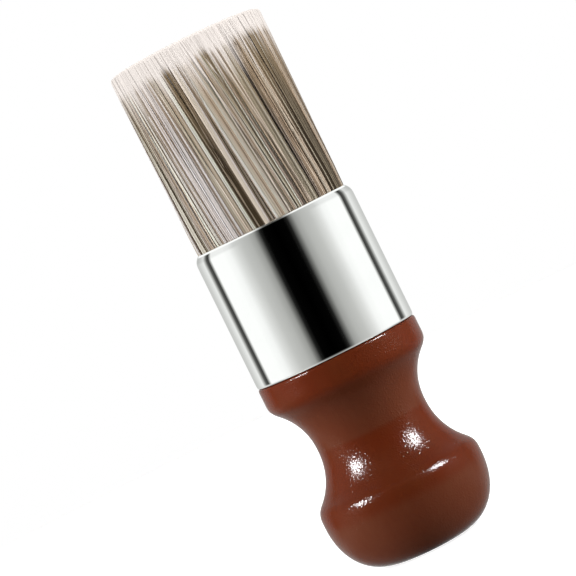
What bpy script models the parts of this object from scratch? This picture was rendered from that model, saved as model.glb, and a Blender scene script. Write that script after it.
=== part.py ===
"""A round leather polish brush: a turned wooden handle, a chromed ferrule and a knot of filaments.

Metres, +Z up. The origin is the centre of the handle's flat foot, and the filament tips point up.
"""

import math
import random

import bmesh
import bpy

# Gap that two touching pieces keep between them
CLEARANCE = 0.0003

# Handle, from its foot upwards
FOOT_FLAT_RADIUS = 0.0070
KNOB_PROUD_OF_FERRULE = 0.0002
KNOB_WIDEST_HEIGHT = 0.0126
RIDGE_ABOVE_WIDEST = 0.0026
LOWER_HOLLOW_LENGTH = 0.0103
WAIST_LENGTH = 0.0007
WAIST_RADIUS = 0.0114
UPPER_HOLLOW_LENGTH = 0.0099
COLLAR_LENGTH = 0.0047
COLLAR_PROUD_OF_FERRULE = 0.00005

# Power of the knob's outline: 2 is an ellipse, and more is fuller
KNOB_FULLNESS = 2.2

# How far from each corner of the handle its rounding starts
RIDGE_ROUNDING = 0.0020
COLLAR_LOWER_ROUNDING = 0.0020
COLLAR_UPPER_ROUNDING = 0.0007

# Ferrule: a drawn tube whose upper edge is curled inwards and whose lower edge is eased in
FERRULE_RADIUS = 0.0165
FERRULE_LENGTH = 0.0278
FERRULE_WALL = 0.0005
LIP_DEPTH = 0.0010
LIP_HEIGHT = 0.0020
EASE_DEPTH = 0.00025
EASE_HEIGHT = 0.0012

# What fills the ferrule: the handle's tenon, a plug of resin and the resin round the filament ends
MOUTH_TO_RESIN = 0.0088
ROOT_RESIN_THICKNESS = 0.0030
PLUG_THICKNESS = 0.0040
ROOT_DEPTH = 0.0010
TENON_CHAMFER = 0.0008
GLUE_GROOVE_DEPTH = 0.0011
GLUE_GROOVE_WIDTH = 0.0034

# Knot of filaments
KNOT_LENGTH = 0.0387
KNOT_FLARE = 0.0003
KNOT_CROWN = 0.0013
TIP_LENGTH = 0.0080
TIP_DRAWN_IN = 0.0003
ROOT_STRAND_RADIUS = 0.00036
STRAND_RADIUS = 0.00053
TIP_STRAND_RADIUS = 0.0003
TIP_UNEVENNESS = 0.0006
TIP_SWAY = 0.00018
SWAY_SEED = 11

# The knot turns clockwise as it rises, seen from its tips
TWIST_PER_METRE = math.radians(-400)

# The strands stand in rows round the axis, and a row has a fixed number more than the one inside it
ROWS = 12
STRANDS_MORE_PER_ROW = 6
OUTER_ROW_STRANDS = 50
ROW_TURN = math.radians(137.5)

# The outer row is dark, and pale rows reach this far in from it
PALE_DEPTH = 0.0026

# Facets round the axis
TURNED_STEPS = 60
HIDDEN_STEPS = 40

# Heights and radii that follow from the sizes above
RIDGE_HEIGHT = KNOB_WIDEST_HEIGHT + RIDGE_ABOVE_WIDEST
WAIST_FOOT = RIDGE_HEIGHT + LOWER_HOLLOW_LENGTH
WAIST_TOP = WAIST_FOOT + WAIST_LENGTH
COLLAR_FOOT = WAIST_TOP + UPPER_HOLLOW_LENGTH
SHOULDER_HEIGHT = COLLAR_FOOT + COLLAR_LENGTH
COLLAR_RADIUS = FERRULE_RADIUS + COLLAR_PROUD_OF_FERRULE
KNOB_RADIUS = FERRULE_RADIUS + KNOB_PROUD_OF_FERRULE
FERRULE_FOOT = SHOULDER_HEIGHT + CLEARANCE
FERRULE_TOP = FERRULE_FOOT + FERRULE_LENGTH
MOUTH_RADIUS = FERRULE_RADIUS - LIP_DEPTH
FILLING_RADIUS = FERRULE_RADIUS - FERRULE_WALL - CLEARANCE
ROOT_RESIN_TOP = FERRULE_TOP - MOUTH_TO_RESIN
ROOT_RESIN_FOOT = ROOT_RESIN_TOP - ROOT_RESIN_THICKNESS
PLUG_FOOT = ROOT_RESIN_FOOT - CLEARANCE - PLUG_THICKNESS
TENON_TOP = PLUG_FOOT - CLEARANCE
GLUE_GROOVE_FOOT = (SHOULDER_HEIGHT + TENON_TOP - GLUE_GROOVE_WIDTH) / 2
KNOT_TOP = FERRULE_TOP + KNOT_LENGTH
TIP_FOOT = KNOT_TOP - TIP_LENGTH
ROOT_HEIGHT = ROOT_RESIN_TOP - ROOT_DEPTH

BRUSH = "leather_polish_brush"
CUTTERS = "cutters"


def clear_scene():
    """Removes the objects that the scene opened with."""
    for obj in list(bpy.data.objects):
        bpy.data.objects.remove(obj)


def new_collection(name):
    made = bpy.data.collections.new(name)
    bpy.context.scene.collection.children.link(made)
    return made


def finish(name, colour, roughness, metallic=0.0, coat=0.0):
    """A plain Principled finish."""
    material = bpy.data.materials.new(name)
    material.use_nodes = True
    shader = material.node_tree.nodes["Principled BSDF"]
    shader.inputs["Base Color"].default_value = (*colour, 1.0)
    shader.inputs["Roughness"].default_value = roughness
    shader.inputs["Metallic"].default_value = metallic
    shader.inputs["Coat Weight"].default_value = coat
    material.diffuse_color = (*colour, 1.0)
    material.roughness = roughness
    material.metallic = metallic
    return material


def filament_finish(name, shaft, tip):
    """A finish that fades from the shaft's colour to the tip's near the top of the knot."""
    material = finish(name, shaft, 0.55)
    nodes = material.node_tree.nodes
    links = material.node_tree.links
    geometry = nodes.new("ShaderNodeNewGeometry")
    split = nodes.new("ShaderNodeSeparateXYZ")
    fade = nodes.new("ShaderNodeMapRange")
    fade.inputs["From Min"].default_value = KNOT_TOP - 0.0100
    fade.inputs["From Max"].default_value = KNOT_TOP - 0.0030
    blend = nodes.new("ShaderNodeMix")
    blend.data_type = "RGBA"
    blend.inputs["A"].default_value = (*shaft, 1.0)
    blend.inputs["B"].default_value = (*tip, 1.0)
    links.new(geometry.outputs["Position"], split.inputs["Vector"])
    links.new(split.outputs["Z"], fade.inputs["Value"])
    links.new(fade.outputs["Result"], blend.inputs["Factor"])
    links.new(blend.outputs["Result"], nodes["Principled BSDF"].inputs["Base Color"])
    return material


def add_piece(name, mesh, material, parent, foot=0.0):
    """Links a piece whose origin is on the brush's axis, at the height of its own foot."""
    piece = bpy.data.objects.new(name, mesh)
    bpy.data.collections[BRUSH].objects.link(piece)
    piece.location.z = foot
    piece.parent = parent
    mesh.materials.append(material)
    return piece


def add_helper(helper):
    """Links an object that only shapes others."""
    bpy.data.collections[CUTTERS].objects.link(helper)
    helper.hide_render = True
    helper.display_type = "WIRE"
    return helper


def profile_mesh(name, outline):
    """Edges along an outline of (radius, height) points, ready to be turned."""
    mesh = bpy.data.meshes.new(name)
    points = [(radius, 0.0, height) for radius, height in outline]
    mesh.from_pydata(points, [(i, i + 1) for i in range(len(points) - 1)], [])
    return mesh


def turn(piece, steps):
    """Turns a piece's profile round the brush's axis."""
    screw = piece.modifiers.new("turned", "SCREW")
    screw.axis = "Z"
    screw.angle = math.tau
    screw.steps = steps
    screw.render_steps = steps
    screw.use_merge_vertices = True
    screw.merge_threshold = 0.00001
    screw.use_smooth_shade = True
    return piece


def ellipse(centre, radii, start, end, steps):
    """Points along an ellipse from one angle to another, both in radians."""
    angles = [start + (end - start) * i / steps for i in range(steps + 1)]
    return [
        (centre[0] + radii[0] * math.cos(a), centre[1] + radii[1] * math.sin(a)) for a in angles
    ]


def full_ellipse(centre, radii, power, start, end, steps):
    """Like an ellipse, but the two shares of its radii are summed at a higher power than 2."""
    points = []
    for i in range(steps + 1):
        a = start + (end - start) * i / steps
        across, up = math.cos(a), math.sin(a)
        reach = (abs(across) ** power + abs(up) ** power) ** (-1 / power)
        points.append((centre[0] + radii[0] * across * reach, centre[1] + radii[1] * up * reach))
    return points


def hollow(corner, waist, steps):
    """The arc from a corner to the waist, which it meets parallel to the axis."""
    rise = corner[1] - waist[1]
    depth = corner[0] - waist[0]
    radius = (rise**2 + depth**2) / (2 * depth)
    sweep = math.copysign(2 * math.atan2(depth, abs(rise)), rise)
    centre = (waist[0] + radius, waist[1])
    return ellipse(centre, (radius, radius), math.pi - sweep, math.pi, steps)


def towards(start, end, distance):
    """The point at a distance from start on the way to end."""
    share = distance / math.dist(start, end)
    return tuple(a + (b - a) * share for a, b in zip(start, end))


def round_corner(outline, corner, reach, steps):
    """Replaces what lies within reach of a corner by a curve that bends towards the corner."""
    gaps = [math.dist(point, corner) for point in outline]
    at = gaps.index(min(gaps))
    before = [point for point, gap in zip(outline[:at], gaps[:at]) if gap > reach]
    after = [point for point, gap in zip(outline[at:], gaps[at:]) if gap > reach]
    start = towards(corner, before[-1], reach)
    end = towards(corner, after[0], reach)
    curve = []
    for i in range(steps + 1):
        t = i / steps
        weights = ((1 - t) ** 2, 2 * t * (1 - t), t**2)
        ends = zip(start, corner, end)
        curve.append(tuple(sum(w * value for w, value in zip(weights, axis)) for axis in ends))
    return before + curve + after


def tenon_outline():
    """The tenon from its top centre down to the shoulder, with the groove for the glue."""
    groove_top = GLUE_GROOVE_FOOT + GLUE_GROOVE_WIDTH
    groove_radius = FILLING_RADIUS - GLUE_GROOVE_DEPTH
    return [
        (0.0, TENON_TOP),
        (FILLING_RADIUS - TENON_CHAMFER, TENON_TOP),
        (FILLING_RADIUS, TENON_TOP - TENON_CHAMFER),
        (FILLING_RADIUS, groove_top),
        (groove_radius, groove_top),
        (groove_radius, GLUE_GROOVE_FOOT),
        (FILLING_RADIUS, GLUE_GROOVE_FOOT),
        (FILLING_RADIUS, SHOULDER_HEIGHT),
    ]


def make_handle(material, parent):
    """Turned handle: tenon, collar, hollow waist, knob with a rounded ridge, and flat foot.

    The knob's side is part of a full ellipse that stands on the rim of the foot's flat. Each hollow is an
    arc that meets the short straight waist without a corner.
    """
    knob_centre = (FOOT_FLAT_RADIUS, KNOB_WIDEST_HEIGHT)
    knob_radii = (KNOB_RADIUS - FOOT_FLAT_RADIUS, KNOB_WIDEST_HEIGHT)
    rise = RIDGE_ABOVE_WIDEST / KNOB_WIDEST_HEIGHT
    ridge_angle = math.atan2(rise, (1 - rise**KNOB_FULLNESS) ** (1 / KNOB_FULLNESS))
    below_ridge = full_ellipse(knob_centre, knob_radii, KNOB_FULLNESS, ridge_angle, 0.0, 2)
    below_widest = full_ellipse(knob_centre, knob_radii, KNOB_FULLNESS, 0.0, -math.pi / 2, 12)
    knob_side = below_ridge[:-1] + below_widest
    ridge = knob_side[0]
    shoulder = (COLLAR_RADIUS, SHOULDER_HEIGHT)
    collar_edge = (COLLAR_RADIUS, COLLAR_FOOT)
    upper_hollow = hollow(collar_edge, (WAIST_RADIUS, WAIST_TOP), 8)
    lower_hollow = hollow(ridge, (WAIST_RADIUS, WAIST_FOOT), 8)[::-1]

    outline = [*tenon_outline(), shoulder, *upper_hollow, *lower_hollow, *knob_side[1:]]
    outline.append((0.0, 0.0))
    outline = round_corner(outline, shoulder, COLLAR_UPPER_ROUNDING, 2)
    outline = round_corner(outline, collar_edge, COLLAR_LOWER_ROUNDING, 3)
    outline = round_corner(outline, ridge, RIDGE_ROUNDING, 4)
    return turn(add_piece("handle", profile_mesh("handle", outline), material, parent), TURNED_STEPS)


def make_glue_ring(material, parent):
    """Ring of set glue that fills the tenon's groove and keys the handle to the ferrule."""
    inner = FILLING_RADIUS - GLUE_GROOVE_DEPTH + CLEARANCE
    height = GLUE_GROOVE_WIDTH - 2 * CLEARANCE
    mesh = profile_mesh("tenon_glue_ring", section_outline(inner, FILLING_RADIUS, height))
    foot = GLUE_GROOVE_FOOT + CLEARANCE
    return turn(add_piece("tenon_glue_ring", mesh, material, parent, foot), HIDDEN_STEPS)


def make_plug(material, parent):
    """Disc of resin between the tenon and the filaments."""
    mesh = profile_mesh("resin_plug", section_outline(0.0, FILLING_RADIUS, PLUG_THICKNESS))
    return turn(add_piece("resin_plug", mesh, material, parent, PLUG_FOOT), HIDDEN_STEPS)


def section_outline(inner, outer, height):
    """The section of a ring, or of a disc where the inner radius is 0."""
    outline = [(inner, height), (outer, height), (outer, 0.0), (inner, 0.0)]
    if inner > 0:
        outline.append(outline[0])
    return outline


def make_ferrule(material, parent):
    """Drawn tube with its upper edge curled in over the filaments and its lower edge eased in.

    The curl is a quarter ellipse outside, and inside one whose half axes are a wall shorter.
    """
    curl = (MOUTH_RADIUS, FERRULE_LENGTH - LIP_HEIGHT)
    outside = ellipse(curl, (LIP_DEPTH, LIP_HEIGHT), math.pi / 2, 0.0, 7)
    ease = (FERRULE_RADIUS - EASE_DEPTH, EASE_HEIGHT)
    eased = ellipse(ease, (EASE_DEPTH, EASE_HEIGHT), 0.0, -math.pi / 2, 3)
    inside = ellipse(curl, (LIP_DEPTH - FERRULE_WALL, LIP_HEIGHT - FERRULE_WALL), 0.0, math.pi / 2, 5)
    outline = [*outside, *eased, (FERRULE_RADIUS - FERRULE_WALL, 0.0), *inside, outside[0]]
    mesh = profile_mesh("ferrule", outline)
    return turn(add_piece("ferrule", mesh, material, parent, FERRULE_FOOT), TURNED_STEPS)


def knot_radius(height):
    """The knot widens steadily from the resin up, and just clears the ferrule's mouth."""
    in_mouth = MOUTH_RADIUS - CLEARANCE
    widest = MOUTH_RADIUS + KNOT_FLARE
    return in_mouth + (widest - in_mouth) * (height - FERRULE_TOP) / (TIP_FOOT - FERRULE_TOP)


def row_pitch():
    """Distance between neighbouring rows in the resin."""
    return (knot_radius(ROOT_HEIGHT) - ROOT_STRAND_RADIUS) / ROWS


def row_border(row):
    """Radius half way between a row and the next one out, in the resin."""
    return row_pitch() * (row + 0.5)


def strand_points(row, angle, sway):
    """One strand as (place, radius) in the resin, where its tip begins and at its end.

    The knot has the same pattern at every height, only turned and scaled, so no strands cross.
    """
    share = row / ROWS
    levels = (
        (knot_radius(ROOT_HEIGHT), ROOT_HEIGHT, ROOT_STRAND_RADIUS),
        (knot_radius(TIP_FOOT), TIP_FOOT, STRAND_RADIUS),
        (knot_radius(TIP_FOOT) - TIP_DRAWN_IN, KNOT_TOP, TIP_STRAND_RADIUS),
    )
    points = []
    for bundle_radius, height, strand_radius in levels:
        reach = share * (bundle_radius - strand_radius)
        turned = angle + TWIST_PER_METRE * (height - ROOT_HEIGHT)
        place = [reach * math.cos(turned), reach * math.sin(turned), height]
        points.append((place, strand_radius))
    tip = points[-1][0]
    tip[2] -= KNOT_CROWN * share**4
    if row > 0:
        tip[0] += TIP_SWAY * sway.uniform(-1, 1)
        tip[1] += TIP_SWAY * sway.uniform(-1, 1)
        tip[2] -= TIP_UNEVENNESS * sway.random()
    return points


def strands_in_row(row):
    if row == ROWS:
        return OUTER_ROW_STRANDS
    return max(1, row * STRANDS_MORE_PER_ROW)


def strand_curve(name, rows, section, sway):
    """One curve object that holds the strands of these rows, each a tapered three-sided tube."""
    curve = bpy.data.curves.new(name, "CURVE")
    curve.dimensions = "3D"
    curve.bevel_mode = "OBJECT"
    curve.bevel_object = section
    curve.use_fill_caps = True
    for row in rows:
        count = strands_in_row(row)
        for i in range(count):
            points = strand_points(row, ROW_TURN * row + math.tau * i / count, sway)
            spline = curve.splines.new("POLY")
            spline.points.add(len(points) - 1)
            for point, (place, radius) in zip(spline.points, points):
                point.co = (*place, 1.0)
                point.radius = radius
    return bpy.data.objects.new(name, curve)


def closed_mesh_object(curve_object):
    """Replaces a curve object by a mesh object whose caps are welded to their tubes."""
    bpy.data.collections[CUTTERS].objects.link(curve_object)
    evaluated = curve_object.evaluated_get(bpy.context.evaluated_depsgraph_get())
    mesh = bpy.data.meshes.new_from_object(evaluated)
    work = bmesh.new()
    work.from_mesh(mesh)
    bmesh.ops.remove_doubles(work, verts=work.verts, dist=0.000001)
    bmesh.ops.recalc_face_normals(work, faces=work.faces)
    work.to_mesh(mesh)
    work.free()
    made = add_helper(bpy.data.objects.new(curve_object.name + "_mesh", mesh))
    made.matrix_world = curve_object.matrix_world
    bpy.data.objects.remove(curve_object)
    return made


def make_strand_section():
    """The closed triangle of unit size that every strand has as its section."""
    curve = bpy.data.curves.new("strand_section", "CURVE")
    curve.dimensions = "2D"
    spline = curve.splines.new("POLY")
    spline.points.add(2)
    spline.use_cyclic_u = True
    for i, point in enumerate(spline.points):
        angle = math.tau * i / 3
        point.co = (math.cos(angle), math.sin(angle), 0.0, 1.0)
    return add_helper(bpy.data.objects.new("strand_section", curve))


def make_filaments(name, rows, section, sway, material, parent):
    """The strands of some neighbouring rows, fused to the ring of resin that holds their roots."""
    inner = row_border(min(rows) - 1) + CLEARANCE / 2 if min(rows) > 0 else 0.0
    outer = FILLING_RADIUS if max(rows) == ROWS else row_border(max(rows)) - CLEARANCE / 2
    mesh = profile_mesh(name, section_outline(inner, outer, ROOT_RESIN_THICKNESS))
    resin = turn(add_piece(name, mesh, material, parent, ROOT_RESIN_FOOT), HIDDEN_STEPS)
    strands = closed_mesh_object(strand_curve(name + "_strands", rows, section, sway))
    strands.data.materials.append(material)
    fused = resin.modifiers.new("strands", "BOOLEAN")
    fused.operation = "UNION"
    fused.solver = "EXACT"
    fused.object = strands
    return resin


def main():
    clear_scene()
    brush = new_collection(BRUSH)
    new_collection(CUTTERS)
    axis = bpy.data.objects.new("brush_axis", None)
    brush.objects.link(axis)

    lacquer = finish("red_brown_lacquer", (0.115, 0.030, 0.012), 0.28, coat=0.6)
    chrome = finish("chrome_plate", (0.80, 0.80, 0.79), 0.07, metallic=1.0)
    resin = finish("set_resin", (0.52, 0.40, 0.22), 0.35)
    glue = finish("set_glue", (0.70, 0.66, 0.55), 0.45)
    tip_colour = (0.80, 0.72, 0.66)
    dark = filament_finish("dark_filament", (0.110, 0.080, 0.055), tip_colour)
    pale = filament_finish("pale_filament", (0.50, 0.45, 0.39), tip_colour)
    core = filament_finish("core_filament", (0.26, 0.22, 0.18), tip_colour)

    make_handle(lacquer, axis)
    make_glue_ring(glue, axis)
    make_ferrule(chrome, axis)
    make_plug(resin, axis)

    section = make_strand_section()
    sway = random.Random(SWAY_SEED)
    first_pale_row = ROWS - round(PALE_DEPTH / row_pitch())
    make_filaments("dark_filaments", range(ROWS, ROWS + 1), section, sway, dark, axis)
    make_filaments("pale_filaments", range(first_pale_row, ROWS), section, sway, pale, axis)
    make_filaments("core_filaments", range(first_pale_row), section, sway, core, axis)


main()
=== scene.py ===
"""A round leather polish brush on a pale floor: turned lacquered handle, chromed ferrule, knot of fine filaments.

Metres, +Z up along the brush's axis, from the flat foot at the origin to the filament tips.
"""

import math

import bpy
import numpy as np
from mathutils import Matrix, Vector


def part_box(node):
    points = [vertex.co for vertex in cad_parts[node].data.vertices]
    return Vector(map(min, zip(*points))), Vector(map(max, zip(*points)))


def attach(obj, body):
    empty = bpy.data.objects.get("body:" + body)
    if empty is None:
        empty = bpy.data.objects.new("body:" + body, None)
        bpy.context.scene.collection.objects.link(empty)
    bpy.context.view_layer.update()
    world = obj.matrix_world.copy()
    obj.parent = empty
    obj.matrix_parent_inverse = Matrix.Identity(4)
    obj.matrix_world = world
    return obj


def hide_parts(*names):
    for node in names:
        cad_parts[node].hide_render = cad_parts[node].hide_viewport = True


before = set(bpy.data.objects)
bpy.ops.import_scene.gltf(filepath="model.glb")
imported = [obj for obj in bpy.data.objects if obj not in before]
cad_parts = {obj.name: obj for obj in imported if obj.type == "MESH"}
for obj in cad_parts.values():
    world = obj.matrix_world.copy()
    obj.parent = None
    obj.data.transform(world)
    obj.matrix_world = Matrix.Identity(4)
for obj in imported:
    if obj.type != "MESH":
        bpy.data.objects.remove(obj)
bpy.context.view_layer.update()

MM = 0.001

# Levels and radii of the solids that the pieces stand for
_, HANDLE_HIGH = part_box("handle")
FERRULE_LOW, FERRULE_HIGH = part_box("ferrule")
KNOT_LOW, KNOT_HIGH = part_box("core_filaments")
_, RESIN_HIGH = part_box("resin_plug")
GLUE_LOW, GLUE_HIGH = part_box("tenon_glue_ring")

# The ferrule stands this much higher than the solid one, and the handle's shoulder just under it
FERRULE_RAISED = 0.3 * MM
FERRULE_FOOT, FERRULE_TOP = FERRULE_LOW[2] + FERRULE_RAISED, FERRULE_HIGH[2] + FERRULE_RAISED
FERRULE_RADIUS = FERRULE_HIGH[0]
SHOULDER_HEIGHT = FERRULE_FOOT - 0.1 * MM

# Handle
KNOB_RADIUS = HANDLE_HIGH[0]
TENON_TOP = HANDLE_HIGH[2]
TENON_RADIUS = RESIN_HIGH[0]
COLLAR_RADIUS = FERRULE_RADIUS + 0.05 * MM
FOOT_FLAT_RADIUS = 6.0 * MM
KNOB_WIDEST_HEIGHT = 12.6 * MM
KNOB_FULLNESS = 2.26
RIDGE_HEIGHT = 15.0 * MM
WAIST_RADIUS = 11.4 * MM
WAIST_FOOT, WAIST_TOP = 25.5 * MM, 26.2 * MM
COLLAR_FOOT = 36.1 * MM
TENON_CHAMFER = 0.8 * MM
GLUE_GROOVE_DEPTH = 1.1 * MM
HANDLE_STEPS = 200

# The room that the solids leave above and below the glue
GLUE_GAP = 0.3 * MM

# The lacquer is painted more brown between these heights of the neck, and below this height of the knob,
# where they face down: painted haze in place of the ground's reflection
GROUND_HAZE_NECK = 25.6 * MM, 35.6 * MM
GROUND_HAZE_KNOB = 11.6 * MM

# Ferrule
WALL = 0.5 * MM
LIP_DEPTH, LIP_HEIGHT = 1.08 * MM, 2.44 * MM
LIP_LAND = 0.11 * MM
MOUTH_RADIUS = FERRULE_RADIUS - LIP_DEPTH
EASE_DEPTH, EASE_HEIGHT = 0.20 * MM, 0.8 * MM
FERRULE_STEPS = 288

# Knot of filaments
KNOT_TOP = KNOT_HIGH[2] - 0.55 * MM
ROOT_RESIN_TOP = FERRULE_HIGH[2] - 8.8 * MM
ROOT_RESIN_FOOT = KNOT_LOW[2]
ROOT_HEIGHT = ROOT_RESIN_TOP - 1.0 * MM
TWIST_PER_METRE = -7.0
STRAND_RADIUS, CORE_STRAND_RADIUS = 0.10 * MM, 0.13 * MM
OUTER_STRANDS, CORE_STRANDS = 8000, 8800
OUTER_DEPTH = 0.14
TIP_ROUNDING = 0.9 * MM
SHADING_OF_ITS_OWN = 0.10

# Clumps at set places: degrees to the right of the side that faces the camera, half width in degrees, and
# how much darker
SET_CLUMPS = (
    (-22, 5, -0.12), (-7, 4, 0.28), (9, 6, -0.13), (24, 6, -0.16), (36, 5, -0.14), (52, 9, 0.24), (70, 8, 0.26),
)

# A strand's tone has this many steps, and what lies between two steps is the hue of its lock
TONE_STEPS = 40.0
LOCK_HUES = (
    (0.0, (1.14, 0.96, 0.78)), (0.3, (1.06, 0.98, 0.90)), (0.5, (0.97, 1.01, 0.92)),
    (0.72, (1.02, 0.96, 0.99)), (1.0, (0.94, 0.97, 1.06)),
)

BLACK, WHITE = (0.0, 0.0, 0.0, 1.0), (1.0, 1.0, 1.0, 1.0)


# Meshes

def add_piece(name, points, faces, material):
    """A mesh object from an array of points and a list of face arrays, each with its own number of corners."""
    mesh = bpy.data.meshes.new(name)
    corners = np.concatenate([array.ravel() for array in faces]).astype(np.int32)
    sizes = np.concatenate([np.full(len(array), array.shape[1]) for array in faces])
    starts = np.concatenate([[0], np.cumsum(sizes)[:-1]]).astype(np.int32)
    mesh.vertices.add(len(points))
    mesh.vertices.foreach_set("co", np.asarray(points, np.float32).ravel())
    mesh.loops.add(len(corners))
    mesh.loops.foreach_set("vertex_index", corners)
    mesh.polygons.add(len(sizes))
    mesh.polygons.foreach_set("loop_start", starts)
    mesh.polygons.foreach_set("use_smooth", np.full(len(sizes), True))
    mesh.update(calc_edges=True)
    mesh.validate()
    piece = bpy.data.objects.new(name, mesh)
    bpy.context.scene.collection.objects.link(piece)
    mesh.materials.append(material)
    return piece


def arc(centre, radii, start, end, steps=60, power=2.0):
    """(radius, height) points of an ellipse, from one angle to another in radians.

    The shares of its two radii, each raised to the power, sum to 1. A power over 2 makes it fuller.
    """
    a = np.linspace(start, end, steps + 1)
    across, up = np.cos(a), np.sin(a)
    reach = (np.abs(across) ** power + np.abs(up) ** power) ** (-1.0 / power)
    return np.stack([centre[0] + radii[0] * across * reach, centre[1] + radii[1] * up * reach], axis=1)


def hollow(corner, waist):
    """The arc from a corner down to the waist, which it meets parallel to the axis."""
    rise, depth = corner[1] - waist[1], corner[0] - waist[0]
    radius = (rise**2 + depth**2) / (2 * depth)
    sweep = math.copysign(2 * math.atan2(depth, abs(rise)), rise)
    return arc((waist[0] + radius, waist[1]), (radius, radius), math.pi - sweep, math.pi)


def soften(outline, corners, least=0.06 * MM, step=0.04 * MM):
    """Rounds an outline's corners.

    The outline is cut into equal short steps. Each point moves to the mean of its neighbours, weighted by
    a bell curve whose width is the rounding of the nearest corner and fades to the least one away from it.
    """
    lengths = np.concatenate([[0.0], np.cumsum(np.hypot(*np.diff(outline, axis=0).T))])
    at = np.linspace(0.0, lengths[-1], int(lengths[-1] / step))
    even = np.stack([np.interp(at, lengths, outline[:, axis]) for axis in (0, 1)], axis=1)
    width = np.full(len(at), least)
    for corner, rounding in corners:
        centre = at[np.argmin(np.hypot(*(even - corner).T))]
        width = np.maximum(width, rounding * np.exp(-(((at - centre) / (4.0 * rounding)) ** 2)))
    weight = np.exp(-0.5 * ((at[:, None] - at[None, :]) / width[:, None]) ** 2)
    soft = (weight @ even) / weight.sum(axis=1, keepdims=True)
    soft[0], soft[-1] = even[0], even[-1]
    return soft


def thin(outline, turn=math.radians(2.2), longest=0.9 * MM):
    """Keeps points of a fine outline so that none is further than a length, or a turn of direction, from the next."""
    along = np.diff(outline, axis=0)
    length = np.hypot(*along.T)
    heading = np.unwrap(np.arctan2(along[:, 1], along[:, 0]))
    bend = np.abs(np.gradient(heading))
    cost = np.concatenate([[0.0], np.cumsum(length / longest + bend / turn)])
    at = np.linspace(0.0, cost[-1], int(cost[-1]) + 2)
    return np.stack([np.interp(at, cost, outline[:, axis]) for axis in (0, 1)], axis=1)


def turned(name, outline, steps, material, waves=None, looped=False):
    """A surface of revolution about Z.

    A point at share i of the outline and at angle a lies at (r cos a, r sin a, h), with r and h the
    outline's radius and height there. The outline runs down the outside, so the faces point outwards. An
    outline that starts and ends on the axis closes in two poles, and a looped one closes on itself.
    """
    angle = np.arange(steps) * math.tau / steps
    ring = outline if looped else outline[1:-1]
    radius = np.repeat(ring[:, :1], steps, axis=1)
    height = np.repeat(ring[:, 1:], steps, axis=1)
    if waves is not None:
        radius = radius + waves(angle[None, :], height)
    points = np.stack([radius * np.cos(angle), radius * np.sin(angle), height], axis=2).reshape(-1, 3)

    count = len(ring)
    row = np.arange(count if looped else count - 1)[:, None]
    column = np.arange(steps)[None, :]
    below, beside = (row + 1) % count, (column + 1) % steps
    corners = [row * steps + column, below * steps + column, below * steps + beside, row * steps + beside]
    faces = [np.stack(corners, axis=2).reshape(-1, 4)]
    if not looped:
        top, foot = len(points), len(points) + 1
        poles = [(0.0, 0.0, outline[0, 1]), (0.0, 0.0, outline[-1, 1])]
        points = np.concatenate([points, poles])
        here, there = column.ravel(), beside.ravel()
        last = (count - 1) * steps
        faces.append(np.stack([np.full(steps, top), here, there], axis=1))
        faces.append(np.stack([np.full(steps, foot), last + there, last + here], axis=1))
    return add_piece(name, points, faces, material)


# Shader nodes

FLOAT, COLOUR, VECTOR = "NodeSocketFloat", "NodeSocketColor", "NodeSocketVector"


def feed(tree, socket, value):
    """Links another node's output to a socket, or sets the socket to a value."""
    if isinstance(value, bpy.types.NodeSocket):
        tree.links.new(value, socket)
    else:
        socket.default_value = value


def put(tree, kind, inputs=None, **settings):
    """Adds a node with its settings, and feeds its inputs."""
    node = tree.nodes.new(kind)
    for name, value in settings.items():
        setattr(node, name, value)
    for name, value in (inputs or {}).items():
        feed(tree, node.inputs[name], value)
    return node


def colour_ramp(tree, factor, stops):
    """The colour of a ramp from (place, colour) pairs."""
    node = put(tree, "ShaderNodeValToRGB", {"Fac": factor})
    ramp = node.color_ramp
    while len(ramp.elements) < len(stops):
        ramp.elements.new(1.0)
    for element, (place, colour) in zip(ramp.elements, stops):
        element.position = place
        element.color = (*colour, 1.0)
    return node.outputs["Color"]


def maths(tree, operation, *values, clamp=False):
    """The result of a Math node on values or outputs."""
    node = put(tree, "ShaderNodeMath", operation=operation, use_clamp=clamp)
    for socket, value in zip(node.inputs, values):
        feed(tree, socket, value)
    return node.outputs[0]


def between(tree, value, low, high, to_low=0.0, to_high=1.0, smooth=False):
    """Maps a value from one range to another, and holds it at the ends."""
    inputs = {"Value": value, "From Min": low, "From Max": high, "To Min": to_low, "To Max": to_high}
    kind = "SMOOTHSTEP" if smooth else "LINEAR"
    return put(tree, "ShaderNodeMapRange", inputs, interpolation_type=kind).outputs["Result"]


def blend(tree, factor, first, second, how="MIX"):
    """Blends two colours."""
    inputs = {"Factor": factor, "A": first, "B": second}
    return put(tree, "ShaderNodeMix", inputs, data_type="RGBA", blend_type=how).outputs["Result"]


def new_group(name, inputs, outputs):
    """A shader node group. Each input is (name, kind, default), each output (name, kind)."""
    group = bpy.data.node_groups.new(name, "ShaderNodeTree")
    for label, kind, default in inputs:
        socket = group.interface.new_socket(label, in_out="INPUT", socket_type=kind)
        if default is not None:
            socket.default_value = default
    for label, kind in outputs:
        group.interface.new_socket(label, in_out="OUTPUT", socket_type=kind)
    entry = group.nodes.new("NodeGroupInput")
    leave = group.nodes.new("NodeGroupOutput")
    return group, entry.outputs, leave.inputs


def use_group(tree, group, inputs):
    """Places a node group with its own values and returns its outputs."""
    return put(tree, "ShaderNodeGroup", inputs, node_tree=group).outputs


def new_material(name, **values):
    """A Principled material. Its values are the shader's own sockets, with _ for the space in a name."""
    material = bpy.data.materials.new(name)
    material.use_nodes = True
    tree = material.node_tree
    shader = tree.nodes["Principled BSDF"]
    for label, value in values.items():
        shader.inputs[label.replace("_", " ").title().replace("Ior", "IOR")].default_value = value
    return material, tree, shader


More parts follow.
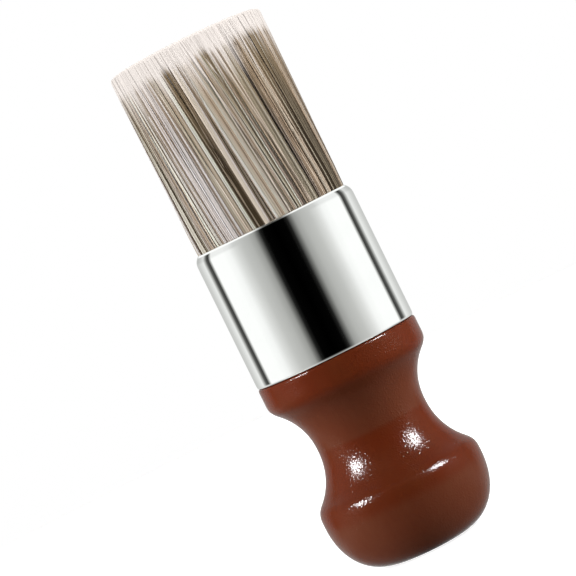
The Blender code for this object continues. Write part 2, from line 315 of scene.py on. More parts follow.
def make_mottle_group():
    """Cloudy variation: noise of a size in metres, spread over the range from 0 to 1 by its contrast."""
    group, given, result = new_group(
        "mottle", [("Vector", VECTOR, None), ("Size", FLOAT, 0.01), ("Contrast", FLOAT, 1.0)], [("Mask", FLOAT)]
    )
    scale = maths(group, "DIVIDE", 1.0, given["Size"])
    noise = put(group, "ShaderNodeTexNoise", {"Vector": given["Vector"], "Scale": scale, "Detail": 3.0})
    centred = maths(group, "SUBTRACT", noise.outputs["Fac"], 0.5)
    spread = maths(group, "MULTIPLY", centred, maths(group, "MULTIPLY", given["Contrast"], 2.5))
    group.links.new(maths(group, "ADD", spread, 0.5, clamp=True), result["Mask"])
    return group


def make_peel_group():
    """Height of a sprayed skin in metres: small round dimples side by side, on a broader swell.

    A dimple is flat in the middle and rises with the cube of the distance from it, so most of the skin
    hardly leans, and a little of it leans more.
    """
    group, given, result = new_group(
        "peel",
        [("Vector", VECTOR, None), ("Size", FLOAT, 0.001), ("Depth", FLOAT, 0.00001), ("Swell", FLOAT, 0.5)],
        [("Height", FLOAT)],
    )
    scale = maths(group, "DIVIDE", 1.0, given["Size"])
    dimples = put(group, "ShaderNodeTexVoronoi", {"Vector": given["Vector"], "Scale": scale}, feature="F1")
    rise = maths(group, "POWER", dimples.outputs["Distance"], 3.0)
    broad_scale = maths(group, "MULTIPLY", scale, 0.35)
    broad = put(group, "ShaderNodeTexNoise", {"Vector": given["Vector"], "Scale": broad_scale, "Detail": 1.0})
    total = maths(group, "ADD", rise, maths(group, "MULTIPLY", broad.outputs["Fac"], given["Swell"]))
    group.links.new(maths(group, "MULTIPLY", total, given["Depth"]), result["Height"])
    return group


def make_filament_group():
    """A filament's colour: the shaft's from its own tone, fading to white towards the tip.

    Along is 0 at the root, 0.5 where the white begins and 1 at the tip. The fine digits of Tone hold the hue of
    the strand's lock. Dark strands are bleached golden just below the white. The second output is painted
    light: the white tips shine with their own colour though they are no lamp,
    which lightens the shade between them.
    """
    group, given, result = new_group(
        "filament_colour",
        [
            ("Tone", FLOAT, 0.5),
            ("Along", FLOAT, 0.0),
            ("Dark", COLOUR, (0.03, 0.02, 0.015, 1.0)),
            ("Middle", COLOUR, (0.2, 0.17, 0.14, 1.0)),
            ("Light", COLOUR, (0.6, 0.56, 0.52, 1.0)),
            ("Tip", COLOUR, (0.9, 0.85, 0.82, 1.0)),
        ],
        [("Color", COLOUR), ("Painted Glow", COLOUR)],
    )
    lower = between(group, given["Tone"], 0.0, 0.5)
    upper = between(group, given["Tone"], 0.5, 1.0)
    plain = blend(group, upper, blend(group, lower, given["Dark"], given["Middle"]), given["Light"])
    hue = maths(group, "FRACT", maths(group, "MULTIPLY", given["Tone"], TONE_STEPS))
    shaft = blend(group, 1.0, plain, colour_ramp(group, hue, LOCK_HUES), how="MULTIPLY")
    near_white = between(group, given["Along"], 0.25, 0.52, 0.0, 0.5, smooth=True)
    bleached = maths(group, "MULTIPLY", near_white, maths(group, "SUBTRACT", 1.0, given["Tone"]))
    golden = (0.26, 0.185, 0.105, 1.0)
    shaft = blend(group, bleached, shaft, golden)
    fade = between(group, given["Along"], 0.5, 0.76, smooth=True)
    group.links.new(blend(group, fade, shaft, given["Tip"]), result["Color"])
    # Painted light: the white tips shine with their own colour
    group.links.new(blend(group, fade, BLACK, given["Tip"]), result["Painted Glow"])
    return group


def object_place(tree):
    """A point's own place on the piece, in metres."""
    return tree.nodes.new("ShaderNodeTexCoord").outputs["Object"]


def give_skin(tree, shader, peel, values):
    """Gives a shader the bumps of the peel group."""
    height = use_group(tree, peel, values)["Height"]
    bump = put(tree, "ShaderNodeBump", {"Height": height, "Strength": 1.0, "Distance": 1.0})
    tree.links.new(bump.outputs["Normal"], shader.inputs["Normal"])


def make_lacquer(mottle, peel):
    """Red-brown lacquer over wood: cloudy stain, faint grain along the axis and a glossy orange-peel skin.

    On the neck above the waist and on the knob, which face down, the colour is painted more brown:
    painted haze in place of the ground's reflection there.
    """
    material, tree, shader = new_material(
        "red_brown_lacquer", ior=1.2, specular_ior_level=0.28, specular_tint=(1.0, 0.84, 0.73, 1.0)
    )
    place = object_place(tree)
    stain = use_group(tree, mottle, {"Vector": place, "Size": 0.009, "Contrast": 1.0})["Mask"]
    along = put(tree, "ShaderNodeMapping", {"Vector": place, "Scale": (1.0, 1.0, 0.06)}).outputs["Vector"]
    grain = use_group(tree, mottle, {"Vector": along, "Size": 0.0011, "Contrast": 0.8})["Mask"]
    red, brown = (0.073, 0.0112, 0.0030, 1.0), (0.070, 0.0145, 0.0045, 1.0)
    painted_haze_colour, dark = (0.075, 0.0208, 0.0095, 1.0), (0.056, 0.0078, 0.0022, 1.0)
    # Painted haze: more brown on the down-facing neck and knob, standing in for the ground's reflection
    height = put(tree, "ShaderNodeSeparateXYZ", {"Vector": place}).outputs["Z"]
    neck = between(tree, height, GROUND_HAZE_NECK[0] - 0.5 * MM, GROUND_HAZE_NECK[0] + 0.5 * MM, smooth=True)
    below_collar = between(tree, height, GROUND_HAZE_NECK[1] + MM, GROUND_HAZE_NECK[1] - MM, smooth=True)
    knob = between(tree, height, GROUND_HAZE_KNOB + 1.2 * MM, GROUND_HAZE_KNOB - 1.2 * MM, smooth=True)
    painted_haze = maths(tree, "MAXIMUM", maths(tree, "MULTIPLY", neck, below_collar), knob)
    painted_haze = maths(tree, "MULTIPLY", painted_haze, between(tree, stain, 0.0, 1.0, 0.7, 1.0))
    stain_and_painted_haze = blend(tree, painted_haze, blend(tree, stain, red, brown), painted_haze_colour)
    shade = maths(tree, "MULTIPLY", grain, 0.22)
    tree.links.new(blend(tree, shade, stain_and_painted_haze, dark), shader.inputs["Base Color"])
    sheen = between(tree, stain, 0.0, 1.0, 0.135, 0.175)
    tree.links.new(sheen, shader.inputs["Roughness"])
    give_skin(tree, shader, peel, {"Vector": place, "Size": 0.00037, "Depth": 0.000036, "Swell": 0.3})
    return material


def make_chrome(mottle):
    """Bright plating with the faintest haze."""
    material, tree, shader = new_material("chrome_plate", metallic=1.0)
    place = object_place(tree)
    haze = use_group(tree, mottle, {"Vector": place, "Size": 0.006, "Contrast": 0.8})["Mask"]
    tree.links.new(between(tree, haze, 0.0, 1.0, 0.035, 0.075), shader.inputs["Roughness"])
    tint = blend(tree, haze, (0.905, 0.910, 0.890, 1.0), (0.880, 0.885, 0.868, 1.0))
    tree.links.new(tint, shader.inputs["Base Color"])
    return material


def make_set_resin(name, mottle, peel, clear, cloudy, roughness):
    """Poured resin or glue that has set: cloudy, with a slightly uneven skin."""
    material, tree, shader = new_material(name, roughness=roughness)
    place = object_place(tree)
    cloud = use_group(tree, mottle, {"Vector": place, "Size": 0.004, "Contrast": 1.0})["Mask"]
    tree.links.new(blend(tree, cloud, clear, cloudy), shader.inputs["Base Color"])
    give_skin(tree, shader, peel, {"Vector": place, "Size": 0.002, "Depth": 0.00006})
    return material


def make_filament_finish(name, group, dark, middle, light, tip):
    """Synthetic filament that reads its tone and its place along the strand from the strand map."""
    # The emission paints light into the white tips, which shine though they are no lamp
    material, tree, shader = new_material(
        name, roughness=0.45, ior=1.45, specular_ior_level=0.2, emission_strength=1.02
    )
    strand = put(tree, "ShaderNodeUVMap", uv_map="strand").outputs["UV"]
    parts = put(tree, "ShaderNodeSeparateXYZ", {"Vector": strand})
    inputs = {
        "Tone": parts.outputs["X"],
        "Along": parts.outputs["Y"],
        "Dark": dark,
        "Middle": middle,
        "Light": light,
        "Tip": tip,
    }
    filament = use_group(tree, group, inputs)
    tree.links.new(filament["Color"], shader.inputs["Base Color"])
    # Painted light into the white tips
    tree.links.new(filament["Painted Glow"], shader.inputs["Emission Color"])
    return material


# Pieces

def make_handle(material):
    """Turned handle: tenon with its glue groove, collar, hollow waist, ridge, bulbous knob and flat foot."""
    groove_foot, groove_top = GLUE_LOW[2] - GLUE_GAP, GLUE_HIGH[2] + GLUE_GAP
    groove_radius = TENON_RADIUS - GLUE_GROOVE_DEPTH
    knob_centre = (FOOT_FLAT_RADIUS, KNOB_WIDEST_HEIGHT)
    knob_radii = (KNOB_RADIUS - FOOT_FLAT_RADIUS, KNOB_WIDEST_HEIGHT)
    rise = RIDGE_HEIGHT / KNOB_WIDEST_HEIGHT - 1.0
    ridge_angle = math.atan2(rise, (1.0 - rise**KNOB_FULLNESS) ** (1.0 / KNOB_FULLNESS))
    knob_side = arc(knob_centre, knob_radii, ridge_angle, -math.pi / 2, 90, KNOB_FULLNESS)
    ridge = tuple(knob_side[0])
    shoulder, collar_edge = (COLLAR_RADIUS, SHOULDER_HEIGHT), (COLLAR_RADIUS, COLLAR_FOOT)
    tenon = [
        (0.0, TENON_TOP),
        (TENON_RADIUS - TENON_CHAMFER, TENON_TOP),
        (TENON_RADIUS, TENON_TOP - TENON_CHAMFER),
        (TENON_RADIUS, groove_top),
        (groove_radius, groove_top),
        (groove_radius, groove_foot),
        (TENON_RADIUS, groove_foot),
        (TENON_RADIUS, SHOULDER_HEIGHT),
    ]
    upper = hollow(collar_edge, (WAIST_RADIUS, WAIST_TOP))
    lower = hollow(ridge, (WAIST_RADIUS, WAIST_FOOT))[::-1]
    outline = np.concatenate([tenon, [shoulder], upper, lower, knob_side[1:], [(0.0, 0.0)]])
    corners = [(shoulder, 0.42 * MM), (collar_edge, 1.0 * MM), (ridge, 1.0 * MM)]
    outline = thin(soften(outline, corners))

    def waves(angle, height):
        """The lathe's and the lacquer's slight unevenness: three slow waves, a few thousandths of a mm deep."""
        shown = np.clip((SHOULDER_HEIGHT - height) / (2 * MM), 0.0, 1.0)
        sway = np.sin(3 * angle + 140 * height) + np.sin(5 * angle - 310 * height + 1.0)
        return 0.004 * MM * shown * (sway + np.sin(2 * angle + 520 * height + 2.2))

    handle = turned("turned_handle", outline, HANDLE_STEPS, material, waves)
    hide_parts("handle")
    return handle


def make_ferrule(material):
    """Drawn tube with its upper edge curled in to the mouth and its lower edge eased in to the collar.

    Outside, the curl starts with a narrow flat land. From there it widens by 1 minus the cube of the share of
    its height that is left. Inside, it is an ellipse whose half axes are a wall shorter. The lower edge is a
    flat quarter ellipse.
    """
    curl = (MOUTH_RADIUS, FERRULE_TOP - LIP_HEIGHT)
    left = np.linspace(1.0, 0.0, 45)
    widening = LIP_LAND + (LIP_DEPTH - LIP_LAND) * (1.0 - left**3)
    outer_curl = np.stack([curl[0] + widening, curl[1] + LIP_HEIGHT * left], axis=1)
    inner_curl = arc(curl, (LIP_DEPTH - WALL, LIP_HEIGHT - WALL), 0.0, math.pi / 2, 24)
    straight = np.linspace(FERRULE_TOP - LIP_HEIGHT, FERRULE_FOOT + EASE_HEIGHT, 34)[1:-1]
    outer = np.stack([np.full_like(straight, FERRULE_RADIUS), straight], axis=1)
    inner = np.stack([np.full_like(straight, FERRULE_RADIUS - WALL), straight[::-1]], axis=1)
    ease = (FERRULE_RADIUS - EASE_DEPTH, FERRULE_FOOT + EASE_HEIGHT)
    eased = arc(ease, (EASE_DEPTH, EASE_HEIGHT), 0.0, -math.pi / 2, 16)
    brim = [(FERRULE_RADIUS - WALL, FERRULE_FOOT)]
    nose = arc((MOUTH_RADIUS, FERRULE_TOP - WALL / 2), (0.15 * MM, WALL / 2), -math.pi / 2, -3 * math.pi / 2, 12)
    outline = np.concatenate([outer_curl, outer, eased, brim, inner, inner_curl, nose[1:-1]])

    def waves(angle, height):
        """Drawing marks: the tube is out of round by a few thousandths of a millimetre."""
        return 0.002 * MM * (np.sin(3 * angle + 1.3) + np.sin(5 * angle + 90 * height))

    ferrule = turned("drawn_ferrule", outline, FERRULE_STEPS, material, waves, looped=True)
    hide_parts("ferrule")
    return ferrule


def make_root_resin(material):
    """Disc of set resin that holds the filament ends, with a slight meniscus up the ferrule's wall."""
    radius = TENON_RADIUS
    climb = 0.5 * MM
    surface = np.linspace(0.0, radius, 40)
    height = ROOT_RESIN_TOP - climb + climb * (surface / radius) ** 8
    top = np.stack([surface, height], axis=1)
    outline = np.concatenate([top, [(radius, ROOT_RESIN_FOOT), (0.0, ROOT_RESIN_FOOT)]])
    disc = turned("root_resin", thin(soften(outline, [])), 96, material)
    return disc


def knot_radius(height):
    """Radius of the knot at a height: it fills the mouth, hardly widens, and is rounded at the tips."""
    above = np.array([-9.8, -1.0, 0.0, 1.0, 4.0, 14.0, 24.0, 33.0, 36.5, 38.7]) * MM + FERRULE_TOP
    radius = np.array([15.10, 15.30, 15.42, 15.50, 15.56, 15.61, 15.64, 15.74, 15.78, 15.70]) * MM
    return np.interp(height, above, radius)


def cells(rng, width, angle):
    """Cuts the round into uneven cells of about this width in radians.

    Returns the cell that each angle lies in, and how many cells there can be.
    """
    widths = width * rng.gamma(3.0, 1 / 3.0, int(math.tau / width) + 8)
    edges = np.cumsum(widths) * math.tau / widths.sum()
    return np.searchsorted(edges, angle % math.tau), len(edges) + 1


def cell_values(rng, width, angle):
    """One chance value from -1 to 1 for every cell."""
    cell, count = cells(rng, width, angle)
    return rng.uniform(-1.0, 1.0, count)[cell]


def wedges(rng, width, angle):
    """Pointed ends of locks: highest in the middle of each cell and lowest at its edges, each of its own height."""
    cell, count = cells(rng, width, angle)
    middle = np.array([np.bincount(cell, np.cos(angle), count), np.bincount(cell, np.sin(angle), count)])
    middle = np.arctan2(middle[1], middle[0])[cell]
    off = np.abs(np.angle(np.exp(1j * (angle - middle)))) / (0.5 * width)
    return rng.uniform(0.0, 1.0, count)[cell] * (1.0 - off)


def strand_tones(rng, angle, share):
    """How light each strand is, from 0 to 1, and the sideways lean of the lock that it belongs to.

    Broad clumps, locks and thin streaks each have a chance value of their own that all their strands share.
    Locks and streaks are a thin layer deep, and others lie in the layer behind. Some darker and paler clumps
    stand at set places on the side that faces the camera, where the right is darker than the left. The tone is
    rounded to its steps, and the hue of the lock goes into what is left over.
    """
    facing = np.angle(np.exp(1j * (angle + math.pi / 2)))
    layer_depth = 0.022
    layer = np.floor((1.0 - share) / layer_depth)
    turned_on = angle + 0.9 * layer
    clump = cell_values(rng, 0.110, angle)
    lock = cell_values(rng, 0.036, turned_on)
    streak = cell_values(rng, 0.015, turned_on)
    tone = 0.53 + 0.12 * clump + 0.36 * lock + 0.38 * streak + 0.12 * rng.uniform(-1, 1, len(angle))
    tone -= 0.16 * np.sin(facing)
    for place, width, strength in SET_CLUMPS:
        tone -= strength * np.exp(-(((np.degrees(facing) - place) / width) ** 2))
    lean = 0.75 * cell_values(rng, 0.036, turned_on) + 0.5 * cell_values(rng, 0.17, turned_on)
    hue = 0.5 + 0.34 * cell_values(rng, 0.05, turned_on) + 0.14 * cell_values(rng, 0.018, turned_on)
    tone = np.floor(np.clip(tone, 0.02, 0.98) * TONE_STEPS)
    return (tone + 0.04 + 0.92 * hue) / TONE_STEPS, lean


def strand_mesh(name, place, tone, white_start, radius, material):
    """Many tapered three-sided strands as one mesh.

    place is (strands, levels, 3): the middle of each strand at each level. The section is a level triangle
    whose corners lie at the strand's radius, and the last level is the pointed tip. The strand map holds
    (tone, place along the strand). Fine strands are shaded as the knot that they make up, so a point's
    normal is mostly the direction away from the axis, or up at the tips, and only partly the strand's own.
    """
    strands, levels = place.shape[:2]
    rings = levels - 1
    turn = np.arange(strands) * 2.4
    corner = turn[:, None] + np.arange(3) * math.tau / 3
    across = np.stack([np.cos(corner), np.sin(corner), np.zeros_like(corner)], axis=2)
    ring_points = place[:, :rings, None, :] + radius[:, :, None, None] * across[:, None, :, :]
    points = np.concatenate([ring_points.reshape(strands, -1, 3), place[:, -1:, :]], axis=1)
    per_strand = rings * 3 + 1

    level = np.arange(rings - 1)[:, None]
    side = np.arange(3)[None, :]
    low, low_next = level * 3 + side, level * 3 + (side + 1) % 3
    high, high_next = low + 3, low_next + 3
    walls = np.concatenate(
        [np.stack([low, low_next, high_next], axis=2).reshape(-1, 3),
         np.stack([low, high_next, high], axis=2).reshape(-1, 3)]
    )
    last = (rings - 1) * 3
    point = [[last, last + 1, rings * 3], [last + 1, last + 2, rings * 3], [last + 2, last, rings * 3]]
    one = np.concatenate([walls, point, [[0, 2, 1]]])
    faces = (one[None, :, :] + (np.arange(strands) * per_strand)[:, None, None]).reshape(-1, 3)
    piece = add_piece(name, points.reshape(-1, 3), [faces], material)

    outward = points.reshape(-1, 3) * np.array([1.0, 1.0, 0.0])
    outward /= np.maximum(np.linalg.norm(outward, axis=1, keepdims=True), 1e-9)
    upward = np.clip((points[:, :, 2].reshape(-1, 1) - (KNOT_TOP - TIP_ROUNDING)) / TIP_ROUNDING, 0.0, 1.0)
    normals = outward * (1.0 - upward) + np.array([0.0, 0.0, 1.0]) * upward
    sides = np.repeat(across[:, None], rings, axis=1).reshape(strands, -1, 3)
    own = np.concatenate([sides, np.zeros((strands, 1, 3))], axis=1)
    normals = normals + SHADING_OF_ITS_OWN * own.reshape(-1, 3)
    normals /= np.linalg.norm(normals, axis=1, keepdims=True)
    piece.data.normals_split_custom_set_from_vertices(normals.tolist())

    height = place[:, :, 2]
    root, tip = height[:, :1], height[:, -1:]
    start = white_start[:, None]
    below = 0.5 * (height - root) / (start - root)
    above = 0.5 + 0.5 * (height - start) / (tip - start)
    along = np.where(height < start, below, above)
    per_point = np.concatenate([np.repeat(along[:, :rings], 3, axis=1), along[:, -1:]], axis=1)
    strand_map = np.stack([np.repeat(tone[:, None], per_strand, axis=1), per_point], axis=2).reshape(-1, 2)
    for label in ("strand", "OFBake"):
        layer = piece.data.uv_layers.new(name=label)
        layer.uv.foreach_set("vector", strand_map[faces.ravel()].astype(np.float32).ravel())
    return piece


def strand_places(rng, angle, share, lean, top, levels):
    """The middle of each strand at each level.

    A strand keeps its share of the knot's radius at every height. Its angle turns with the knot's twist,
    leans with its lock, and drifts and bows a little of its own. A few strands stand out of the knot or lean
    far over. At the tips, neighbours in the same small square draw slightly together.
    """
    count = len(angle)
    t = np.asarray(levels)[None, :]
    height = ROOT_HEIGHT + (top[:, None] - ROOT_HEIGHT) * t
    free = np.clip((height - FERRULE_TOP) / (KNOT_TOP - FERRULE_TOP), 0.0, 1.0)
    radius = share[:, None] * knot_radius(height)
    stray = np.where(rng.random(count) < 0.006, rng.uniform(0.05, 0.20, count), 0.0) * MM
    radius = radius + stray[:, None] * free**2
    drift = lean + rng.normal(0.0, 0.12, count)
    drift = drift + np.where(rng.random(count) < 0.04, rng.normal(0, 1.6, count), 0.0)
    bow = rng.normal(0.0, 0.04, count)
    sideways = (drift[:, None] * free**1.2 + bow[:, None] * np.sin(math.pi * free)) * MM
    turned_by = TWIST_PER_METRE * (height - FERRULE_TOP)
    here = angle[:, None] + turned_by + sideways / np.maximum(radius, 4 * MM)
    x, y = radius * np.cos(here), radius * np.sin(here)

    cell = 0.7 * MM
    tip = np.stack([x[:, -1], y[:, -1]], axis=1)
    key = np.floor((tip + 1.0) / cell).astype(np.int64)
    _, group = np.unique(key[:, 0] * 100000 + key[:, 1], return_inverse=True)
    group = group.ravel()
    members = np.bincount(group)
    centre = np.stack([np.bincount(group, tip[:, axis]) / members for axis in (0, 1)], axis=1)[group]
    pull = 0.10 * free**6
    x = x + (centre[:, :1] - tip[:, :1]) * pull
    y = y + (centre[:, 1:] - tip[:, 1:]) * pull
    return np.stack([x, y, height], axis=2)


def make_knot(dark_finish, pale_finish, core_finish):
    """The knot: fine strands outside in two tones, and coarser ones in the core."""
    rng = np.random.default_rng(23)

    def tops(share):
        """Height of each strand's tip, under a flat crown that falls off at its edge."""
        crown = 0.10 * share**2 + 0.55 * share**18
        return KNOT_TOP - (crown + 0.10 * np.abs(rng.normal(0, 1, len(share)))) * MM

    def whites(angle, share, tone):
        """Height where a strand's white begins: lower on light strands, and ragged from lock to lock."""
        ragged = 0.9 * cell_values(rng, 0.07, angle) + 2.4 * wedges(rng, 0.11, angle)
        ragged = ragged + 1.6 * wedges(rng, 0.045, angle + share)
        length = 7.9 + 2.4 * (tone - 0.5) - ragged + rng.normal(0, 0.35, len(angle))
        return KNOT_TOP - length * MM

    levels = (0.0, 0.20, 0.225, 0.30, 0.60, 0.90, 0.99, 1.0)
    angle = rng.uniform(0, math.tau, OUTER_STRANDS)
    edge = 1.0 - STRAND_RADIUS / knot_radius(FERRULE_TOP)
    share = edge * np.sqrt(rng.uniform((1 - OUTER_DEPTH) ** 2, 1.0, OUTER_STRANDS))
    tone, lean = strand_tones(rng, angle, share)
    place = strand_places(rng, angle, share, lean, tops(share), levels)
    white = whites(angle, share, tone)
    thick = STRAND_RADIUS * rng.uniform(0.75, 1.25, OUTER_STRANDS)
    taper = np.array([1.0, 1.0, 1.0, 1.0, 1.1, 1.7, 1.6])
    radius = thick[:, None] * taper[None, :]
    pieces = []
    dark = tone < np.quantile(tone, 0.5)
    for name, node, slot, chosen, finish in (
        ("dark_filament_strands", "dark_filaments", "dark_filament", dark, dark_finish),
        ("pale_filament_strands", "pale_filaments", "pale_filament", ~dark, pale_finish),
    ):
        piece = strand_mesh(name, place[chosen], tone[chosen], white[chosen], radius[chosen], finish)
        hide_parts(node)
        pieces.append(piece)

    levels = (0.0, 0.5, 0.84, 0.988, 1.0)
    angle = (np.arange(CORE_STRANDS) * math.pi * (3 - math.sqrt(5))) % math.tau
    share = (1 - OUTER_DEPTH) * np.sqrt((np.arange(CORE_STRANDS) + 0.5) / CORE_STRANDS)
    lean = rng.normal(0.0, 0.6, CORE_STRANDS)
    place = strand_places(rng, angle, share, lean, tops(share), levels)
    tone = np.clip(rng.normal(0.45, 0.2, CORE_STRANDS), 0.02, 0.98)
    white = whites(angle, share, tone)
    thick = CORE_STRAND_RADIUS * rng.uniform(0.85, 1.2, CORE_STRANDS)
    taper = np.array([1.0, 1.0, 1.7, 1.9])
    radius = thick[:, None] * taper[None, :]
    core = strand_mesh("core_filament_strands", place, tone, white, radius, core_finish)
    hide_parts("core_filaments")
    return [*pieces, core]


# Floor, light and camera

def make_floor():
    """Pale floor: a thin disc whose top lies just under the foot. It glows white, a little less near the brush,
    which paints a soft shade round the foot.
    """
    material, tree, shader = new_material("pale_floor", roughness=0.8, emission_strength=1.0)
    place = object_place(tree)
    noise = put(tree, "ShaderNodeTexNoise", {"Vector": place, "Scale": 9.0, "Detail": 2.0})
    tint = blend(tree, noise.outputs["Fac"], (0.44, 0.44, 0.435, 1.0), (0.48, 0.48, 0.475, 1.0))
    tree.links.new(tint, shader.inputs["Base Color"])
    reach = put(tree, "ShaderNodeVectorMath", {0: place}, operation="LENGTH").outputs["Value"]
    # Painted shade: the floor's light is dimmer near the brush
    far = between(tree, reach, 0.05, 0.30, smooth=True)
    glow = blend(tree, far, (0.82, 0.82, 0.82, 1.0), WHITE)
    tree.links.new(glow, shader.inputs["Emission Color"])
    radius, top = 0.62, -0.02 * MM
    underside = top - 0.5 * MM
    outline = np.array([(0.0, top), (0.2, top), (radius, top), (radius, underside), (0.0, underside)])
    floor = turned("floor", outline, 128, material)
    floor.visible_glossy = False
    floor.visible_diffuse = False
    return floor


def make_studio():
    """Soft studio light as a world that changes with direction.

    Each direction is described by the surface on the brush that mirrors it towards the camera: its tilt up or
    down, and its turn, which is twice the angle that it faces away from the camera. So turn runs from 0 for
    the camera itself, through the sides, to 180 degrees (1 on the ramps) for what stands behind the brush.
    In the middle there are a dark card round the camera, pale walls that brighten towards the sides and are
    shaded higher up, a narrow dark gap further back and a grey wall behind. White paper hangs over the top,
    and the ground is pale. Both are dimmer near the camera and for light that falls on matte surfaces, and the
    ground is also dimmer steeply below on the far side.
    """
    world = bpy.data.worlds.new("studio")
    bpy.context.scene.world = world
    world.use_nodes = True
    tree = world.node_tree
    tree.nodes.clear()
    direction = tree.nodes.new("ShaderNodeTexCoord").outputs["Generated"]
    parts = put(tree, "ShaderNodeSeparateXYZ", {"Vector": direction}).outputs
    sideways = maths(tree, "ABSOLUTE", parts["X"])
    forward = maths(tree, "SUBTRACT", 1.0, parts["Y"])
    squares = maths(tree, "ADD", maths(tree, "POWER", sideways, 2.0), maths(tree, "POWER", forward, 2.0))
    turn = maths(tree, "MULTIPLY", maths(tree, "ARCTAN2", sideways, forward), 2.0 / math.pi)
    tilt = maths(tree, "ARCTAN2", parts["Z"], maths(tree, "SQRT", squares))
    path = tree.nodes.new("ShaderNodeLightPath").outputs

    def lights(*stops):
        """A ramp over the turn, from (degrees, light) pairs. Dark greys are slightly yellower than pale ones."""
        return colour_ramp(tree, turn, [
            (degrees / 180.0, (light * 0.985, light, light * (0.955 + 0.045 * min(light, 1.0))))
            for degrees, light in stops
        ])

    def tilted(start, end, smooth=True):
        """0 to 1 as the tilt goes from one angle in degrees to the other."""
        return between(tree, tilt, math.radians(start), math.radians(end), smooth=smooth)

    def for_matte(share):
        """This share for light that falls on matte surfaces, and nothing for the rest."""
        return maths(tree, "MULTIPLY", path["Is Diffuse Ray"], share)

    walls = lights(
        (0, 0.0), (15, 0.001), (20, 0.015), (25, 0.18), (29, 0.37), (38, 0.51), (50, 0.60), (62, 0.80), (72, 1.04),
        (84, 1.12), (109, 1.12), (113, 0.38), (116, 0.04), (122, 0.11), (127, 0.50), (132, 0.93), (142, 0.78),
        (150, 0.68), (160, 0.62), (180, 0.64),
    )
    shaded = maths(tree, "MULTIPLY", tilted(8, 18, smooth=False), between(tree, turn, 0.28, 0.35))
    walls = blend(tree, maths(tree, "MULTIPLY", shaded, 0.15), walls, BLACK)

    paper = blend(tree, for_matte(0.5), lights((0, 0.10), (14, 0.20), (32, 1.15)), BLACK)

    ground = lights((0, 0.35), (16, 0.45), (34, 0.72), (60, 0.80), (90, 0.95), (120, 0.90), (148, 0.70), (180, 0.60))
    beneath = between(tree, parts["Z"], -0.28, -0.45, 0.0, 0.5, smooth=True)
    beneath = maths(tree, "MULTIPLY", beneath, between(tree, parts["Y"], -0.1, 0.25, smooth=True))
    ground = blend(tree, maths(tree, "MAXIMUM", beneath, for_matte(0.42)), ground, BLACK)

    light = blend(tree, tilted(-7, -20), blend(tree, tilted(36, 42), walls, paper), ground)
    behind = between(tree, parts["Y"], 0.95, 0.985, smooth=True)
    light = blend(tree, behind, light, (0.62, 0.63, 0.615, 1.0))
    studio = put(tree, "ShaderNodeBackground", {"Color": light, "Strength": 1.0}).outputs[0]
    backdrop = put(tree, "ShaderNodeBackground", {"Color": WHITE, "Strength": 1.0}).outputs[0]
    mixed = put(tree, "ShaderNodeMixShader", {0: path["Is Camera Ray"], 1: studio, 2: backdrop})
    output = tree.nodes.new("ShaderNodeOutputWorld")
    tree.links.new(mixed.outputs[0], output.inputs["Surface"])


def direction_to(azimuth, elevation):
    """Unit vector towards an azimuth round from the camera's side, -Y, and an elevation, in degrees."""
    a, e = math.radians(azimuth), math.radians(elevation)
    return Vector((math.sin(a) * math.cos(e), -math.cos(a) * math.cos(e), math.sin(e)))


def make_softbox(name, lit, azimuth, elevation, power, size, colour=WHITE[:3], shows_in_gloss=False):
    """A softbox a metre away that faces the middle of the brush and lights only the pieces of a collection.

    It shows as a highlight in gloss, or else it only lights the colours.
    """
    lamp = bpy.data.lights.new(name, "AREA")
    lamp.shape = "RECTANGLE"
    lamp.size, lamp.size_y = size
    lamp.energy = power
    lamp.color = colour
    middle = Vector((0.0, 0.0, 0.05))
    towards = direction_to(azimuth, elevation)
    holder = bpy.data.objects.new(name, lamp)
    bpy.context.scene.collection.objects.link(holder)
    holder.location = middle + towards
    holder.rotation_mode = "QUATERNION"
    holder.rotation_quaternion = towards.to_track_quat("Z", "Y")
    holder.visible_camera = False
    holder.visible_glossy = shows_in_gloss
    holder.visible_diffuse = not shows_in_gloss
    holder.light_linking.receiver_collection = lit


def make_lights(handle, floor, knot):
    """Softboxes: a highlight and a fill on each side of the handle, fills for the knot, and one over each.

    The ferrule has none. It shows the studio alone.
    """
    handle_light = bpy.data.collections.new("handle_light")
    knot_light = bpy.data.collections.new("knot_light")
    for piece in (handle, floor):
        handle_light.objects.link(piece)
    for piece in knot:
        knot_light.objects.link(piece)
    cool = (0.86, 1.03, 1.19)
    for side, turn in (("right", 1.0), ("left", -1.0)):
        make_softbox("highlight_" + side, handle_light, 63.5 * turn, 29.0, 92.0, (0.22, 0.28), cool, True)
        make_softbox("handle_fill_" + side, handle_light, 78.0 * turn, 0.0, 23.0, (0.5, 0.24))
        make_softbox("knot_fill_" + side, knot_light, 55.0 * turn, 8.0, 13.0, (0.9, 0.9))
    make_softbox("handle_top", handle_light, 0.0, 55.0, 5.4, (0.5, 0.5))
    make_softbox("knot_top", knot_light, 20.0, 78.0, 9.0, (0.6, 0.6))


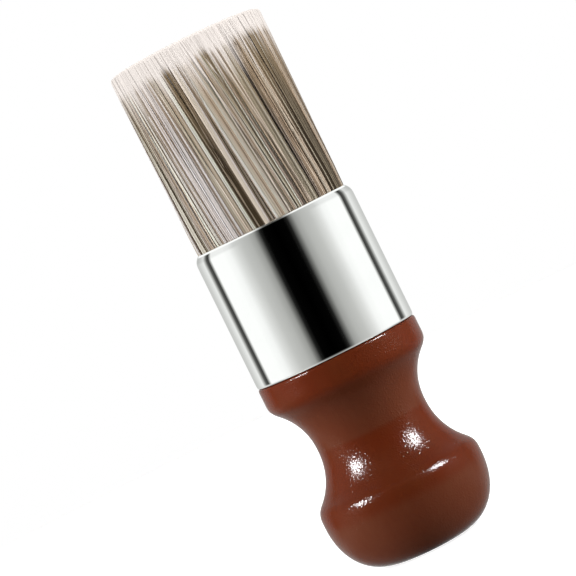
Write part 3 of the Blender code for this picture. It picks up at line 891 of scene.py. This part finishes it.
def make_camera():
    """A lens level with the ferrule's mouth, rolled so that the tips point up and to the left.

    The middle of the brush stands a few pixels right of the picture's middle and just below it.
    """
    distance, height, roll = 0.56, 0.069, math.radians(26.2)
    picture_width, metres_per_pixel = 576, 0.00019075
    pixels_right, pixels_down = 16.47, 0.75
    middle = Vector((0.0, 0.0, 0.05475))
    place = Vector((0.0, -distance, height))
    towards = (place - middle).normalized()
    lens = bpy.data.cameras.new("camera")
    lens.sensor_width = 36.0
    lens.lens = lens.sensor_width / picture_width * (place - middle).length / metres_per_pixel
    lens.clip_start, lens.clip_end = 0.05, 20.0
    level_right = Vector((1.0, 0.0, 0.0))
    level_up = towards.cross(level_right)
    right = level_right * math.cos(roll) - level_up * math.sin(roll)
    up = level_right * math.sin(roll) + level_up * math.cos(roll)
    aim = middle - right * (pixels_right * metres_per_pixel) + up * (pixels_down * metres_per_pixel)
    towards = (place - aim).normalized()
    right = (right - towards * right.dot(towards)).normalized()
    up = towards.cross(right)
    camera = bpy.data.objects.new("camera", lens)
    bpy.context.scene.collection.objects.link(camera)
    turn = Matrix((right, up, towards)).transposed().to_4x4()
    camera.matrix_world = Matrix.Translation(place) @ turn
    bpy.context.scene.camera = camera


def main():
    bpy.context.scene.view_settings.view_transform = "Standard"
    mottle, peel, filament = make_mottle_group(), make_peel_group(), make_filament_group()
    lacquer, chrome = make_lacquer(mottle, peel), make_chrome(mottle)
    resin = make_set_resin("set_resin", mottle, peel, (0.42, 0.30, 0.14, 1.0), (0.58, 0.46, 0.28, 1.0), 0.35)
    glue = make_set_resin("set_glue", mottle, peel, (0.66, 0.61, 0.48, 1.0), (0.76, 0.73, 0.64, 1.0), 0.45)
    shadow, brown, tip = (0.034, 0.022, 0.012, 1.0), (0.285, 0.232, 0.180, 1.0), (0.378, 0.348, 0.328, 1.0)
    dark = make_filament_finish("dark_filament", filament, shadow, brown, (0.60, 0.58, 0.545, 1.0), tip)
    pale = make_filament_finish("pale_filament", filament, shadow, brown, (0.66, 0.645, 0.615, 1.0), tip)
    core = make_filament_finish(
        "core_filament", filament, (0.060, 0.045, 0.035, 1.0), (0.26, 0.21, 0.17, 1.0), (0.55, 0.50, 0.45, 1.0), tip
    )

    handle, ferrule, root_resin = make_handle(lacquer), make_ferrule(chrome), make_root_resin(resin)
    knot = make_knot(dark, pale, core)
    for piece in (handle, ferrule, root_resin, *knot):
        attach(piece, "root")
    for node, material in (("tenon_glue_ring", glue), ("resin_plug", resin)):
        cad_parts[node].data.materials.clear()
        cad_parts[node].data.materials.append(material)

    floor = make_floor()
    make_studio()
    make_lights(handle, floor, [root_resin, *knot])
    make_camera()


main()
